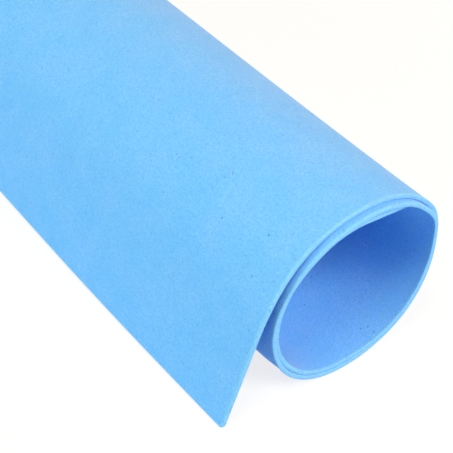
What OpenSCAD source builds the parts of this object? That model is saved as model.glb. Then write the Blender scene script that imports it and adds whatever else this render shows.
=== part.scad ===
// Foam sheet, loosely rolled, with its outer end hanging off the roll as a flap.
// The sheet is one piece of even thickness. Its cut edge is worked out as one
// profile, from the inner end out to the flap, and extruded along the roll.
// The roll lies along Y on the surface Z = 0, and the flap hangs on the -X side.
// The origin is the middle of the flat spot that the roll rests on.

/* [Sheet] */
// Width of the sheet, along the roll
sheet_width = 500; // [200:10:700]
// Thickness of the foam
sheet_thickness = 2; // [1:0.1:4]

/* [Roll] */
// Outer diameter of the roll, where the outer turn passes the right side
roll_diameter = 94.4; // [70:0.2:140]
// Air between one turn and the next
turn_gap = 0.2; // [0.1:0.05:0.6]
// Close turns, from the inner bend to the place where the outer turn lifts off
close_turns = 1.78; // [1.3:0.01:3]
// Place where the outer turn lifts off, in degrees from the right side
lift_place = 100; // [80:1:115]
// Width of the flat spot that the roll rests on
flat_width = 8; // [4:0.5:12]

/* [Inner end] */
// How much tighter the inner bend is than the turn that it leaves, in radius
inner_bend_less = 3.4; // [2:0.1:10]
// Angle of the inner bend
inner_bend_angle = 89; // [80:1:95]

/* [Flap] */
// How much wider the lifting bend is than the roll, in radius
lift_bend_extra = 5.2; // [3:0.1:12]
// Radius of the easy bend between the lifting bend and the straight flap
ease_bend_radius = 82; // [65:1:140]
// Share of the turn to the flap that the lifting bend makes
lift_bend_share = 0.7; // [0.4:0.05:0.9]
// Slope of the straight flap against the surface
flap_slope = 76; // [68:1:84]

/* [Hidden] */

// Largest step between points along a bend, in degrees
BEND_STEP = 2.5;
// Winding angle at which the outer turn passes the right side of the roll.
// Winding angles grow outwards along the sheet, by 360 for each turn.
RIGHT_SIDE = 720;
BOTTOM = RIGHT_SIDE - 90;

half_thickness = sheet_thickness / 2;
turn_pitch = sheet_thickness + turn_gap;
lift_angle = RIGHT_SIDE + lift_place;
close_start = lift_angle - 360 * close_turns;

function direction(angle) = [cos(angle), sin(angle)];

// Angles along a bend from one angle to another, in even steps
function angles(first, last) =
    let (count = ceil(abs(last - first) / BEND_STEP))
    [for (i = [0:count]) first + (last - first) * i / count];

// Radius of the middle of the foam at a winding angle of the close turns
function turn_radius(angle) =
    roll_diameter / 2 - half_thickness + turn_pitch * (angle - RIGHT_SIDE) / 360;

// The roll's centre stands as high as leaves the flat spot at the bottom
bottom_radius = turn_radius(BOTTOM) + half_thickness;
centre = [0, sqrt(pow(bottom_radius, 2) - pow(flat_width / 2, 2))];
flat_half_angle = asin(flat_width / 2 / bottom_radius);

// A station is a middle point of the foam and the sheet's heading there, going
// outwards. The roll's centre is on the left of the heading.
function turn_station(angle) = [
    centre + turn_radius(angle) * direction(angle),
    angle + 90 - atan(turn_pitch / (2 * PI) / turn_radius(angle))
];
function bend_station(start, radius, angle) = [
    start[0] + radius * (direction(start[1] + angle - 90) - direction(start[1] - 90)),
    start[1] + angle
];
function outer_point(station) = station[0] + half_thickness * direction(station[1] - 90);
function inner_point(station) = station[0] - half_thickness * direction(station[1] - 90);

// The inner bend runs inwards from the close turns, so its angles count down
inner_start = turn_station(close_start);
inner_bend_radius = turn_radius(close_start) - inner_bend_less;
inner_bend = [
    for (a = angles(-inner_bend_angle, 0)) bend_station(inner_start, inner_bend_radius, a)
];

// The straight inner end runs on until it meets the turn around it, so that
// its end lies along that turn with the same gap as between the turns
end_run = -direction(inner_bend[0][1]);
function winding_angle(point) =
    let (a = atan2(point[1], point[0]))
    a + 360 * ceil((close_start - a) / 360);
function end_corner(from, radius) =
    let (along = from * end_run)
    from + (sqrt(pow(along, 2) - from * from + pow(radius, 2)) - along) * end_run;
function room_inside(point) = turn_radius(winding_angle(point)) - half_thickness - turn_gap;
function end_point(from) =
    let (near_corner = end_corner(from - centre, turn_radius(close_start)))
    centre + end_corner(from - centre, room_inside(near_corner));

// The lifting bend and the easy bend take the outer turn over into the flap
lift_start = turn_station(lift_angle);
lift_bend_radius = roll_diameter / 2 + lift_bend_extra;
flap_turn = RIGHT_SIDE + 180 + flap_slope - lift_start[1];
lift_bend_angle = flap_turn * lift_bend_share;
lift_bend = [for (a = angles(0, lift_bend_angle)) bend_station(lift_start, lift_bend_radius, a)];
ease_start = lift_bend[len(lift_bend) - 1];
ease_bend_angle = flap_turn - lift_bend_angle;
ease_bend = [for (a = angles(0, ease_bend_angle)) bend_station(ease_start, ease_bend_radius, a)];

// The straight flap reaches down until the inner corner of its end meets the surface
flap_start = ease_bend[len(ease_bend) - 1];
flap_length = (flap_start[0][1] - half_thickness * cos(flap_slope)) / sin(flap_slope);
flap_end = [flap_start[0] + flap_length * direction(flap_start[1]), flap_start[1]];

function without_first(list) = [for (i = [1:len(list) - 1]) list[i]];
function without_last(list) = [for (i = [0:len(list) - 2]) list[i]];
function reversed(list) = [for (i = [len(list) - 1:-1:0]) list[i]];
function outer_turn(first, last) = [for (a = angles(first, last)) outer_point(turn_station(a))];

flap_stations = concat(without_first(lift_bend), without_first(ease_bend), [flap_end]);

// Face of the sheet that looks away from the roll's centre, pressed flat at the bottom
outer_face = concat(
    [end_point(outer_point(inner_bend[0]))],
    [for (s = inner_bend) outer_point(s)],
    without_last(without_first(outer_turn(close_start, BOTTOM - flat_half_angle))),
    [[-flat_width / 2, 0], [flat_width / 2, 0]],
    without_first(outer_turn(BOTTOM + flat_half_angle, lift_angle)),
    [for (s = flap_stations) outer_point(s)]
);

// Face of the sheet that looks towards the roll's centre
inner_face = concat(
    [end_point(inner_point(inner_bend[0]))],
    [for (s = inner_bend) inner_point(s)],
    [for (a = without_first(angles(close_start, lift_angle))) inner_point(turn_station(a))],
    [for (s = flap_stations) inner_point(s)]
);

module foam_sheet() {
    color([0.50, 0.78, 0.98])
    rotate([90, 0, 0])
    linear_extrude(height = sheet_width, center = true)
    polygon(concat(outer_face, reversed(inner_face)));
}

foam_sheet();
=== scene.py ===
import math

import bpy
import numpy as np
from mathutils import Matrix, Vector


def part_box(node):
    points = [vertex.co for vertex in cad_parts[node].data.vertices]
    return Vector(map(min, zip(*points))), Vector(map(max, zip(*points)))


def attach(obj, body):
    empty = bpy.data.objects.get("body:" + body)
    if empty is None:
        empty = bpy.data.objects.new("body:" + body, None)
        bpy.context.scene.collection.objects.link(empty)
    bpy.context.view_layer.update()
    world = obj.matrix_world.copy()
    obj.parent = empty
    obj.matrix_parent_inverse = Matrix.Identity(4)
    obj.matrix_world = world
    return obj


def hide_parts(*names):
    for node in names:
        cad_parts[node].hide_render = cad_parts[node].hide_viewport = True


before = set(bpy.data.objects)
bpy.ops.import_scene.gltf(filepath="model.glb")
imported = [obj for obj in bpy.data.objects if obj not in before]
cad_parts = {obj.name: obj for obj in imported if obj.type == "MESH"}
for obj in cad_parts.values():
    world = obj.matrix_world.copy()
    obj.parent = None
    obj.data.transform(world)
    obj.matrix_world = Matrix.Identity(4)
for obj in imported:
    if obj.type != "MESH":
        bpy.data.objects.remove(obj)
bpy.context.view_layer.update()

# The sheet and its roll, in metres and degrees, as the solid has them
NODE = "foam_sheet"
THICKNESS = 0.002
ROLL_DIAMETER = 0.0944
TURN_GAP = 0.0002
CLOSE_TURNS = 1.78
LIFT_PLACE = 100
FLAT_WIDTH = 0.008
INNER_BEND_LESS = 0.0034
INNER_BEND_ANGLE = 89
LIFT_BEND_EXTRA = 0.0052
EASE_BEND_RADIUS = 0.082
LIFT_BEND_SHARE = 0.7
FLAP_SLOPE = 76
TIP_THICKNESS = 0.0004

node_low, node_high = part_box(NODE)
SHEET_WIDTH = node_high.y - node_low.y

# Winding angles grow outwards along the sheet, by 360 for each turn
RIGHT_SIDE = 720
BOTTOM = RIGHT_SIDE - 90

# How fine the mesh is: steps along and across the sheet, and closer ones near its four
# edges, as distances across and as shares of the corners' rounding along
STATION_STEP = 0.0017
COLUMN_STEP = 0.012
END_COLUMNS = (0.0016, 0.0030, 0.0050, 0.0080, 0.0120, 0.0170, 0.0240, 0.0330)
END_STATIONS = (0, 0.04, 0.09, 0.16, 0.3, 0.5, 0.75)

# The cut edges are rounded, a little thicker than the sheet and slightly crowned, and the
# sheet's corners are rounded too, which moves the mesh lines beside them
EDGE_ROUND = 0.00050
EDGE_STEPS = 5
EDGE_REACH = 0.0013
EDGE_THICKER = 0.00008
EDGE_CROWN = 0.00006
EDGE_CROWN_PLACE = THICKNESS / 6
CORNER_ROUND = 0.0016
CORNER_FADE = 0.012

# Where along the sheet, by winding angle, its near edge stands out of the roll or sinks
# into it: all along by the first value, then the middle of each swell, how far it reaches
# to both sides, and its height
EDGE_OUT = 0.0003
EDGE_SWELLS = [
    (83, 137, 0.00113),
    (140, 120, -0.00085),
    (239, 48, 0.00083),
    (317, 55, 0.00108),
    (402, 22, 0.00045),
    (450, 118, 0.00300),
    (589, 70, 0.00125),
    (668, 75, 0.00080),
    (738, 63, -0.00107),
    (858, 52, -0.00100),
    (1040, 230, 0.00125),
]

# The outer turns flare a little at the near end, around one direction
FLARE = 0.0010
FLARE_PLACE = 32
FLARE_SPREAD = 12
FLARE_DEPTH = 0.013
FLARE_FIRST = 330

# Behind both ends the roll's lower left side, under the flap, swells a little
BELLY = 0.0011
BELLY_PLACE = -140
BELLY_SPREAD = 38
BELLY_DEPTH = 0.008

# The roll's upper side and the flap's free edge wave slightly along the roll
ROLL_WAVE = 0.00032
ROLL_WAVE_LENGTH = 0.31
ROLL_WAVE_PLACE = 45
ROLL_WAVE_SPREAD = 50
FLAP_LEAN = 0.00025
FLAP_WAVE = 0.0010
FLAP_WAVE_LENGTH = 0.332
FLAP_WAVE_POWER = 1.5

# The foam's surface, as texture scales per metre, and the depth of its relief in metres
PATCH_SCALE = 60
PATCH_DETAIL = 4
PATCH_FINENESS = 0.6
PATCH_RANGE = (0.35, 0.65)
CELL_SCALE = 1050
CELL_DETAIL = 3
CELL_FINENESS = 0.7
CELL_RANGE = (0.25, 0.75)
PORE_SCALE = 420
PORE_CORE = 0.05
PORE_RIM = 0.22
PORE_SHARE = 0.30
PORE_DEPTH = 0.65
RELIEF = 0.00042
SKIN_BUMP = 0.8
CUT_BUMP = 1.0
ROUGHNESS_CELLS = (0.2, 0.8)
ROUGHNESS = (0.60, 0.74)
SPECULAR = 0.5
SHEEN = 0.2
SHEEN_ROUGHNESS = 0.5

# The studio: bounced light finds the floor pale blue. The camera sees it white, less so
# near the roll, where it keeps the shadow
WHITE = (1.0, 1.0, 1.0, 1.0)
FLOOR_COLOUR = (0.45, 0.72, 1.0, 1)
FLOOR_SIZE = 12
FLOOR_LEVEL = -0.0001
FLOOR_ROUGHNESS = 0.9
FLOOR_SPECULAR = 0.1
FLOOR_WHITE_NEAR = 0.8
FLOOR_WHITE_FROM = 0.4
FLOOR_WHITE_TO = 1.2
WORLD_LIGHT = 0.03
LIGHT_DISTANCE = 1.9
LIGHT_AIM_HEIGHT = 0.03

# Camera of the photograph
CAMERA_PLACE = (-0.3037, -0.4885, 0.3749)
CAMERA_FORWARD = (0.5347, 0.5694, -0.6244)
CAMERA_UP = (0.3131, 0.5527, 0.7723)
CAMERA_CLIP = 0.01
FOCAL_PIXELS = 1200
PHOTO_PIXELS = 453
SENSOR_WIDTH = 36


def linear(red, green, blue):
    """A colour written as sRGB levels up to 255, as Blender's linear colour."""
    colour = []
    for level in (red, green, blue):
        share = level / 255
        colour.append(share / 12.92 if share <= 0.04045 else ((share + 0.055) / 1.055) ** 2.4)
    return (*colour, 1.0)


SKIN_BLUE = linear(118, 196, 254)
SKIN_PALE = linear(136, 200, 255)
SKIN_DARK = linear(92, 166, 254)
CUT_BLUE = linear(141, 209, 250)
CUT_DEEP = linear(135, 206, 250)
CUT_DARK = linear(110, 178, 247)
PORE_COLOUR = linear(58, 110, 170)


def direction(angle):
    return np.array([math.cos(math.radians(angle)), math.sin(math.radians(angle))])


# The sheet's path, seen from its near end: x to the right, y up from the surface

half = THICKNESS / 2
pitch = THICKNESS + TURN_GAP
lift_angle = RIGHT_SIDE + LIFT_PLACE
close_start = lift_angle - 360 * CLOSE_TURNS


def turn_radius(angle):
    """Radius of the middle of the foam at a winding angle of the close turns."""
    return ROLL_DIAMETER / 2 - half + pitch * (angle - RIGHT_SIDE) / 360


bottom_radius = turn_radius(BOTTOM) + half
centre = np.array([0.0, math.sqrt(bottom_radius**2 - (FLAT_WIDTH / 2) ** 2)])


def turn_station(angle):
    """Middle point of the foam and its heading, going outwards, at a winding angle."""
    radius = turn_radius(angle)
    lean = math.degrees(math.atan(pitch / (2 * math.pi) / radius))
    return centre + radius * direction(angle), angle + 90 - lean


def bend_station(start, radius, angle):
    """Point and heading after a bend of that angle from a start station."""
    point, heading = start
    chord = direction(heading + angle - 90) - direction(heading - 90)
    return point + radius * chord, heading + angle


def steps(first, last, length):
    """Values from first to last, spaced for a stretch of that length."""
    return np.linspace(first, last, max(2, math.ceil(length / STATION_STEP) + 1))


def bend(start, radius, first, last):
    angles = steps(first, last, radius * math.radians(last - first))
    return [bend_station(start, radius, angle) for angle in angles]


def straight(start, first, last):
    point, heading = start
    return [(point + d * direction(heading), heading) for d in steps(first, last, last - first)]


def wall_distance(point, along):
    """How far a point inside the close turns is from the turn around it, going along."""
    offset = point - centre
    angle = math.degrees(math.atan2(offset[1], offset[0]))
    angle += 360 * math.ceil((close_start - angle) / 360)
    room = turn_radius(angle) - half - TURN_GAP
    forward = offset @ along
    return math.sqrt(max(forward**2 - offset @ offset + room**2, 0)) - forward


def sheet_path():
    """Stations from the inner end to the flap's end, the foam on their outer side, and
    the number of the station at which the flap lifts off."""
    inner_start = turn_station(close_start)
    inner_radius = turn_radius(close_start) - INNER_BEND_LESS
    inner_bend = bend(inner_start, inner_radius, -INNER_BEND_ANGLE, 0)
    turns_length = math.radians(lift_angle - close_start) * ROLL_DIAMETER / 2
    turns = [turn_station(angle) for angle in steps(close_start, lift_angle, turns_length)]
    lift_start = turns[-1]
    flap_turn = RIGHT_SIDE + 180 + FLAP_SLOPE - lift_start[1]
    lift_radius = ROLL_DIAMETER / 2 + LIFT_BEND_EXTRA
    lift = bend(lift_start, lift_radius, 0, flap_turn * LIFT_BEND_SHARE)
    ease = bend(lift[-1], EASE_BEND_RADIUS, 0, flap_turn * (1 - LIFT_BEND_SHARE))
    slope = math.radians(FLAP_SLOPE)
    flap_length = (ease[-1][0][1] - half * math.cos(slope)) / math.sin(slope)
    flap = straight(ease[-1], 0, flap_length)

    first_point, first_heading = inner_bend[0]
    inward = direction(first_heading - 90)
    inner_side = first_point - half * inward
    run = -direction(first_heading)
    end_length = wall_distance(inner_side + TIP_THICKNESS * inward, run)
    inner_end = straight(inner_bend[0], -end_length, 0)

    # Each stretch starts with the station that the one before it ends with
    path = list(inner_end)
    for stretch in (inner_bend, turns):
        path += stretch[1:]
    lift_place = len(path) - 1
    for stretch in (lift, ease, flap):
        path += stretch[1:]

    # The inner end tapers against the turn around it
    outer = np.full(len(path), half)
    for i in range(len(inner_end)):
        point, heading = path[i]
        out = direction(heading - 90)
        outer[i] = min(half, wall_distance(point - half * out, out) - half)
    return path, outer, lift_place


def swell(offset, reach):
    """A smooth hump of height 1 that ends at reach on both sides."""
    return math.cos(math.pi / 2 * min(abs(offset) / reach, 1)) ** 2


def creep_at(angle):
    """How far the near edge stands out at a winding angle."""
    swells = sum(height * swell(angle - middle, reach) for middle, reach, height in EDGE_SWELLS)
    return EDGE_OUT + swells


def nearness(offset, spread):
    return math.exp(-((offset / spread) ** 2))


def eased(x, y, z, angle, flap_share):
    """A point of the sheet after the foam's small deviations from a straight roll."""
    from_end = y + SHEET_WIDTH / 2
    place = math.degrees(math.atan2(z - centre[1], x))
    out = 0.0
    if angle > FLARE_FIRST:
        flare_side = nearness(place - FLARE_PLACE, FLARE_SPREAD)
        out += FLARE * flare_side * nearness(from_end, FLARE_DEPTH)
    if flap_share == 0:
        round_place = (place - BELLY_PLACE + 180) % 360 - 180
        ends = nearness(from_end, BELLY_DEPTH) + nearness(SHEET_WIDTH - from_end, BELLY_DEPTH)
        out += BELLY * nearness(round_place, BELLY_SPREAD) * max(1 - ends, 0)
    roll_wave = math.sin(2 * math.pi * from_end / ROLL_WAVE_LENGTH)
    out -= ROLL_WAVE * roll_wave * nearness(place - ROLL_WAVE_PLACE, ROLL_WAVE_SPREAD)
    shift = out * direction(place)
    flap_wave = math.sin(2 * math.pi * from_end / FLAP_WAVE_LENGTH)
    x += shift[0] - (FLAP_LEAN + FLAP_WAVE * flap_wave) * flap_share**FLAP_WAVE_POWER
    z += shift[1]
    return x, y, max(z, 0.0)


def edge_section():
    """Half of a cut edge as (inset from the edge, height above the foam's middle) pairs.

    It starts on the face beside the edge and ends close to the middle of the cut.
    """
    swelling_inset = (EDGE_REACH + EDGE_ROUND) / 2
    section = [(EDGE_REACH, half), (swelling_inset, half + EDGE_THICKER / 2)]
    for k in range(EDGE_STEPS + 1):
        turn = math.radians(90 * k / EDGE_STEPS)
        level = half + EDGE_THICKER - EDGE_ROUND * (1 - math.cos(turn))
        section.append((EDGE_ROUND * (1 - math.sin(turn)), level))
    section.append((-EDGE_CROWN, EDGE_CROWN_PLACE))
    return section


def round_inset(distance, radius):
    """How far a rounded corner draws in at a distance from the end."""
    if distance >= radius:
        return 0.0
    return radius - math.sqrt(radius**2 - (radius - distance) ** 2)


def corner_share(place, end):
    """How far a mesh line moves with a rounded corner at one end of the sheet's width."""
    distance = SHEET_WIDTH / 2 - end * place - EDGE_REACH
    return max(1 - max(distance, 0) / CORNER_FADE, 0) ** 2


def columns():
    """Places of the mesh lines across the sheet's width, closer to each other near both ends."""
    ends = np.array(END_COLUMNS)
    first, last = ends[-1], SHEET_WIDTH - ends[-1]
    middle = np.linspace(first, last, round((last - first) / COLUMN_STEP) + 1)
    return np.concatenate([ends[:-1], middle, SHEET_WIDTH - ends[-2::-1]]) - SHEET_WIDTH / 2


def sheet_faces(rings, count, rim):
    """Faces of a row of rings with count points on each side, and which are cut edges.

    Each side has rim points on the near cut edge, then the face's, then rim on the far one.
    """
    faces = []
    cut = []
    ring = 2 * count
    for i in range(rings - 1):
        for k in range(ring):
            n = (k + 1) % ring
            here, there = i * ring, (i + 1) * ring
            faces.append((here + k, here + n, there + n, there + k))
            on_face = rim - 1 <= k % count < count - rim and k != count - 1
            cut.append(not on_face)
    last = (rings - 1) * ring
    for a in range(count - 1):
        b = a + 1
        c, d = ring - 1 - b, ring - 1 - a
        faces.append((d, c, b, a))
        faces.append((last + a, last + b, last + c, last + d))
        cut += [True, True]
    return faces, cut


def build_sheet():
    """The sheet as one closed mesh, and its developed length."""
    path, outer, lift_place = sheet_path()
    points = np.array([point for point, _ in path])
    headings = np.array([heading for _, heading in path])
    pieces = np.linalg.norm(np.diff(points, axis=0), axis=1)
    lengths = np.concatenate([[0], np.cumsum(pieces)])
    total = lengths[-1]
    lift_length = lengths[lift_place]

    # More stations close to both ends, where the corners and edges are rounded
    near_end = np.array(END_STATIONS) * CORNER_ROUND
    between = lengths[(lengths > CORNER_ROUND) & (lengths < total - CORNER_ROUND)]
    stations = np.concatenate([near_end, between, total - near_end[::-1]])
    mid = np.stack([np.interp(stations, lengths, points[:, k]) for k in range(2)], 1)
    heading = np.interp(stations, lengths, headings)
    outside = np.interp(stations, lengths, outer)
    # Past the lift the winding angle goes on growing with the length
    flap_length = np.maximum(stations - lift_length, 0)
    flap_winding = lift_angle + np.degrees(flap_length / (ROLL_DIAMETER / 2))
    winding = np.where(flap_length > 0, flap_winding, heading - 90)

    section = edge_section()
    # One side of the ring around the sheet: near edge, face, far edge
    side = [("near", inset, level) for inset, level in reversed(section)]
    side += [("face", place, half) for place in columns()]
    side += [("far", inset, level) for inset, level in section]

    vertices = []
    for i, station in enumerate(stations):
        normal = direction(heading[i] - 90)
        creep = creep_at(winding[i])
        from_end = min(station, total - station)
        corner = round_inset(from_end, CORNER_ROUND)
        thin = round_inset(from_end, EDGE_ROUND)
        foam_share = (half + outside[i]) / THICKNESS
        foam_middle = (outside[i] - half) / 2
        flap_share = flap_length[i] / (total - lift_length)
        for facing in (1, -1):
            for kind, place, level in side[::facing]:
                if kind == "face":
                    v = place + corner * (corner_share(place, -1) - corner_share(place, 1))
                elif kind == "near":
                    v = -SHEET_WIDTH / 2 + place + corner
                else:
                    v = SHEET_WIDTH / 2 - place - corner
                out = foam_middle + facing * level * (1 - thin / half) * foam_share
                x, z = mid[i] + out * normal
                vertices.append(eased(x, v - creep, z, winding[i], flap_share))

    faces, cut = sheet_faces(len(stations), len(side), len(section))
    mesh = bpy.data.meshes.new("foam_roll")
    mesh.from_pydata(vertices, [], faces)
    mesh.validate()
    mesh.update()
    for polygon, is_cut in zip(mesh.polygons, cut):
        polygon.material_index = int(is_cut)
        polygon.use_smooth = True
    sheet = bpy.data.objects.new("foam_roll", mesh)
    bpy.context.collection.objects.link(sheet)
    return sheet, total


def new_material(name):
    material = bpy.data.materials.new(name)
    material.use_nodes = True
    nodes = material.node_tree.nodes
    return material, nodes, material.node_tree.links, nodes["Principled BSDF"]


def noise(nodes, links, coordinates, scale, detail, fineness):
    texture = nodes.new("ShaderNodeTexNoise")
    texture.inputs["Scale"].default_value = scale
    texture.inputs["Detail"].default_value = detail
    texture.inputs["Roughness"].default_value = fineness
    links.new(coordinates, texture.inputs["Vector"])
    return texture.outputs["Fac"]


def mapped(nodes, links, value, from_range, to_range):
    """A value brought from one range, at whose ends it is clamped, to another."""
    node = nodes.new("ShaderNodeMapRange")
    node.inputs["From Min"].default_value = from_range[0]
    node.inputs["From Max"].default_value = from_range[1]
    node.inputs["To Min"].default_value = to_range[0]
    node.inputs["To Max"].default_value = to_range[1]
    links.new(value, node.inputs["Value"])
    return node.outputs["Result"]


def mixed(nodes, links, factor, first, second):
    """Two colours, each a tuple or a socket, mixed by a socket."""
    node = nodes.new("ShaderNodeMix")
    node.data_type = "RGBA"
    links.new(factor, node.inputs["Factor"])
    for name, value in (("A", first), ("B", second)):
        target = [s for s in node.inputs if s.name == name and s.type == "RGBA"][0]
        if isinstance(value, tuple):
            target.default_value = value
        else:
            links.new(value, target)
    return [s for s in node.outputs if s.type == "RGBA"][0]


def computed(nodes, links, operation, first, second):
    """A Math node on a socket and a second socket or number."""
    node = nodes.new("ShaderNodeMath")
    node.operation = operation
    links.new(first, node.inputs[0])
    if isinstance(second, float):
        node.inputs[1].default_value = second
    else:
        links.new(second, node.inputs[1])
    return node.outputs[0]


def foam_material(name, main, second, dark, bump_strength):
    """Closed-cell foam: two close blues in soft patches, a darker cell grain, sparse pores."""
    material, nodes, links, shader = new_material(name)
    coordinates = nodes.new("ShaderNodeTexCoord").outputs["Object"]
    patches = noise(nodes, links, coordinates, PATCH_SCALE, PATCH_DETAIL, PATCH_FINENESS)
    patch_share = mapped(nodes, links, patches, PATCH_RANGE, (0.0, 1.0))
    colour = mixed(nodes, links, patch_share, main, second)

    cells = noise(nodes, links, coordinates, CELL_SCALE, CELL_DETAIL, CELL_FINENESS)
    shade = mapped(nodes, links, cells, CELL_RANGE, (0.0, 1.0))
    colour = mixed(nodes, links, shade, colour, dark)

    pores = nodes.new("ShaderNodeTexVoronoi")
    pores.inputs["Scale"].default_value = PORE_SCALE
    links.new(coordinates, pores.inputs["Vector"])
    spot = mapped(nodes, links, pores.outputs["Distance"], (PORE_CORE, PORE_RIM), (1.0, 0.0))
    chosen = nodes.new("ShaderNodeSeparateColor")
    links.new(pores.outputs["Color"], chosen.inputs["Color"])
    few = mapped(nodes, links, chosen.outputs["Red"], (1.0 - PORE_SHARE, 1.0), (0.0, 1.0))
    pore = computed(nodes, links, "MULTIPLY", spot, few)
    pore_shade = computed(nodes, links, "MULTIPLY", pore, PORE_DEPTH)
    colour = mixed(nodes, links, pore_shade, colour, PORE_COLOUR)
    links.new(colour, shader.inputs["Base Color"])

    roughness = mapped(nodes, links, cells, ROUGHNESS_CELLS, ROUGHNESS)
    links.new(roughness, shader.inputs["Roughness"])
    shader.inputs["Specular IOR Level"].default_value = SPECULAR
    shader.inputs["Sheen Weight"].default_value = SHEEN
    shader.inputs["Sheen Roughness"].default_value = SHEEN_ROUGHNESS

    bump = nodes.new("ShaderNodeBump")
    bump.inputs["Strength"].default_value = bump_strength
    bump.inputs["Distance"].default_value = RELIEF
    links.new(computed(nodes, links, "SUBTRACT", cells, pore), bump.inputs["Height"])
    links.new(bump.outputs["Normal"], shader.inputs["Normal"])
    return material


def seen_white(nodes, links):
    """1 for a ray from the camera, a gloss or glass, so that all show white surroundings."""
    rays = nodes.new("ShaderNodeLightPath").outputs
    seen = computed(nodes, links, "MAXIMUM", rays["Is Camera Ray"], rays["Is Glossy Ray"])
    return computed(nodes, links, "MAXIMUM", seen, rays["Is Transmission Ray"])


def build_floor():
    bpy.ops.mesh.primitive_plane_add(size=FLOOR_SIZE, location=(0, 0, FLOOR_LEVEL))
    floor = bpy.context.object
    floor.name = "floor"
    material, nodes, links, shader = new_material("floor_white")
    shader.inputs["Roughness"].default_value = FLOOR_ROUGHNESS
    shader.inputs["Specular IOR Level"].default_value = FLOOR_SPECULAR
    seen = seen_white(nodes, links)
    colour = mixed(nodes, links, seen, FLOOR_COLOUR, WHITE)
    links.new(colour, shader.inputs["Base Color"])
    white = nodes.new("ShaderNodeEmission")
    white.inputs["Strength"].default_value = 1.0
    place = nodes.new("ShaderNodeTexCoord")
    distance = nodes.new("ShaderNodeVectorMath")
    distance.operation = "LENGTH"
    links.new(place.outputs["Object"], distance.inputs[0])
    glow_from = (FLOOR_WHITE_FROM, FLOOR_WHITE_TO)
    glow = mapped(nodes, links, distance.outputs["Value"], glow_from, (FLOOR_WHITE_NEAR, 1.0))
    share = computed(nodes, links, "MULTIPLY", seen, glow)
    mix = nodes.new("ShaderNodeMixShader")
    links.new(share, mix.inputs["Fac"])
    links.new(shader.outputs["BSDF"], mix.inputs[1])
    links.new(white.outputs["Emission"], mix.inputs[2])
    links.new(mix.outputs["Shader"], nodes["Material Output"].inputs["Surface"])
    floor.data.materials.append(material)


def build_world():
    world = bpy.data.worlds.new("studio")
    bpy.context.scene.world = world
    world.use_nodes = True
    nodes, links = world.node_tree.nodes, world.node_tree.links
    nodes.clear()
    output = nodes.new("ShaderNodeOutputWorld")
    light = nodes.new("ShaderNodeBackground")
    light.inputs["Color"].default_value = WHITE
    light.inputs["Strength"].default_value = WORLD_LIGHT
    seen = nodes.new("ShaderNodeBackground")
    seen.inputs["Color"].default_value = WHITE
    seen.inputs["Strength"].default_value = 1.0
    mix = nodes.new("ShaderNodeMixShader")
    links.new(seen_white(nodes, links), mix.inputs["Fac"])
    links.new(light.outputs["Background"], mix.inputs[1])
    links.new(seen.outputs["Background"], mix.inputs[2])
    links.new(mix.outputs["Shader"], output.inputs["Surface"])


def soft_light(name, bearing, height, size, power, colour):
    """A round soft light aimed at the roll, at a bearing from +X and a height angle."""
    data = bpy.data.lights.new(name, "AREA")
    data.shape = "DISK"
    data.size = size
    data.energy = power
    data.color = colour
    lamp = bpy.data.objects.new(name, data)
    aim = Vector((0, 0, LIGHT_AIM_HEIGHT))
    level = direction(bearing) * math.cos(math.radians(height))
    away = Vector((level[0], level[1], math.sin(math.radians(height))))
    lamp.location = aim + LIGHT_DISTANCE * away
    lamp.rotation_euler = (-away).to_track_quat("-Z", "Y").to_euler()
    bpy.context.collection.objects.link(lamp)


def build_camera():
    data = bpy.data.cameras.new("photo_camera")
    data.sensor_width = SENSOR_WIDTH
    data.lens = FOCAL_PIXELS / PHOTO_PIXELS * SENSOR_WIDTH
    data.clip_start = CAMERA_CLIP
    camera = bpy.data.objects.new("photo_camera", data)
    back = -Vector(CAMERA_FORWARD).normalized()
    right = Vector(CAMERA_UP).cross(back).normalized()
    up = back.cross(right)
    turn = Matrix((right, up, back)).transposed().to_4x4()
    camera.matrix_world = Matrix.Translation(CAMERA_PLACE) @ turn
    bpy.context.collection.objects.link(camera)
    bpy.context.scene.camera = camera


sheet, developed_length = build_sheet()
skin = foam_material("foam_skin", SKIN_BLUE, SKIN_PALE, SKIN_DARK, SKIN_BUMP)
cut_edge = foam_material("foam_cut_edge", CUT_BLUE, CUT_DEEP, CUT_DARK, CUT_BUMP)
sheet.data.materials.append(skin)
sheet.data.materials.append(cut_edge)
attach(sheet, "root")
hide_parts(NODE)

build_floor()
build_world()
soft_light("left", bearing=162, height=14, size=1.1, power=21.2, colour=(0.79, 1.0, 0.82))
soft_light("front", bearing=279, height=41, size=0.9, power=31, colour=(1.0, 0.95, 0.84))
soft_light("top", bearing=212, height=60, size=0.6, power=12, colour=(1.0, 0.94, 0.62))
soft_light("back", bearing=35, height=28, size=1.1, power=10, colour=(1.0, 0.82, 0.68))
build_camera()
bpy.context.scene.view_settings.view_transform = "Standard"
